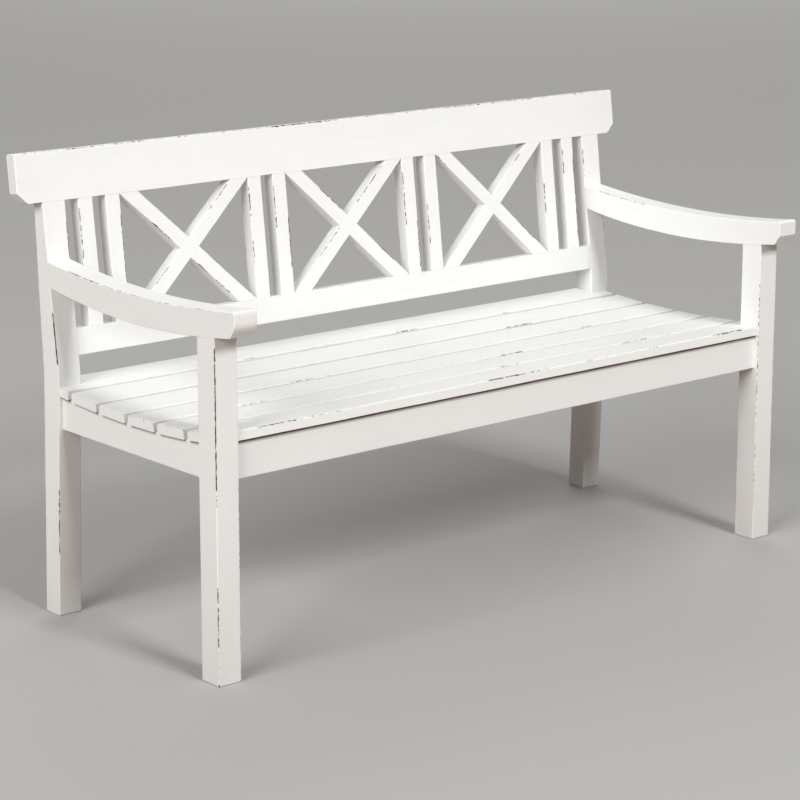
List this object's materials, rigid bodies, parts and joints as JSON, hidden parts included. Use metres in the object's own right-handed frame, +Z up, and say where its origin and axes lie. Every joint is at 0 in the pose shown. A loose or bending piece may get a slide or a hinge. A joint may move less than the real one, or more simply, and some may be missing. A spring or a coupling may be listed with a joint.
{
  "type": "bench",
  "caption": "Wooden garden bench with armrests, dished slatted seat and a sloping back of upright slats and crossed panels under a wide top rail, in worn white paint.",
  "frame": {"origin": "on the floor, in the middle of the outline seen from above", "axes": "+X along the seat, to the right as seen from the front; the sitter faces -Y; +Z up"},
  "size_m": [1.5, 0.6183, 0.8697],
  "materials": {
    "worn_white_paint": "satin white paint on wood, worn through to dark wood along the edges",
    "underside_paint": "thinner white paint on the wood under the seat",
    "screw_steel": "plain steel screws"
  },
  "bodies": {
    "root": {"armrest_left": "worn_white_paint", "armrest_right": "worn_white_paint", "back_slat_1": "worn_white_paint", "back_slat_2": "worn_white_paint", "back_slat_3": "worn_white_paint", "back_slat_4": "worn_white_paint", "back_slat_5": "worn_white_paint", "back_slat_6": "worn_white_paint", "back_slat_7": "worn_white_paint", "back_slat_8": "worn_white_paint", "corner_block_front_left": "underside_paint", "corner_block_front_right": "underside_paint", "corner_block_rear_left": "underside_paint", "corner_block_rear_right": "underside_paint", "crest_rail": "worn_white_paint", "cross_1_falling": "worn_white_paint", "cross_1_rising": "worn_white_paint", "cross_2_falling": "worn_white_paint", "cross_2_rising": "worn_white_paint", "cross_3_falling": "worn_white_paint", "cross_3_rising": "worn_white_paint", "front_apron": "worn_white_paint", "front_leg_left": "worn_white_paint", "front_leg_right": "worn_white_paint", "lower_back_rail": "worn_white_paint", "rear_apron": "underside_paint", "rear_post_left": "worn_white_paint", "rear_post_right": "worn_white_paint", "seat_bearer": "underside_paint", "seat_cleat_left": "underside_paint", "seat_cleat_right": "underside_paint", "seat_slat_1": "worn_white_paint", "seat_slat_2": "worn_white_paint", "seat_slat_3": "worn_white_paint", "seat_slat_4": "worn_white_paint", "seat_slat_5": "worn_white_paint", "seat_slat_6": "worn_white_paint", "side_apron_left": "worn_white_paint", "side_apron_right": "worn_white_paint", "slat_screws": "screw_steel"}
  },
  "joints": []
}
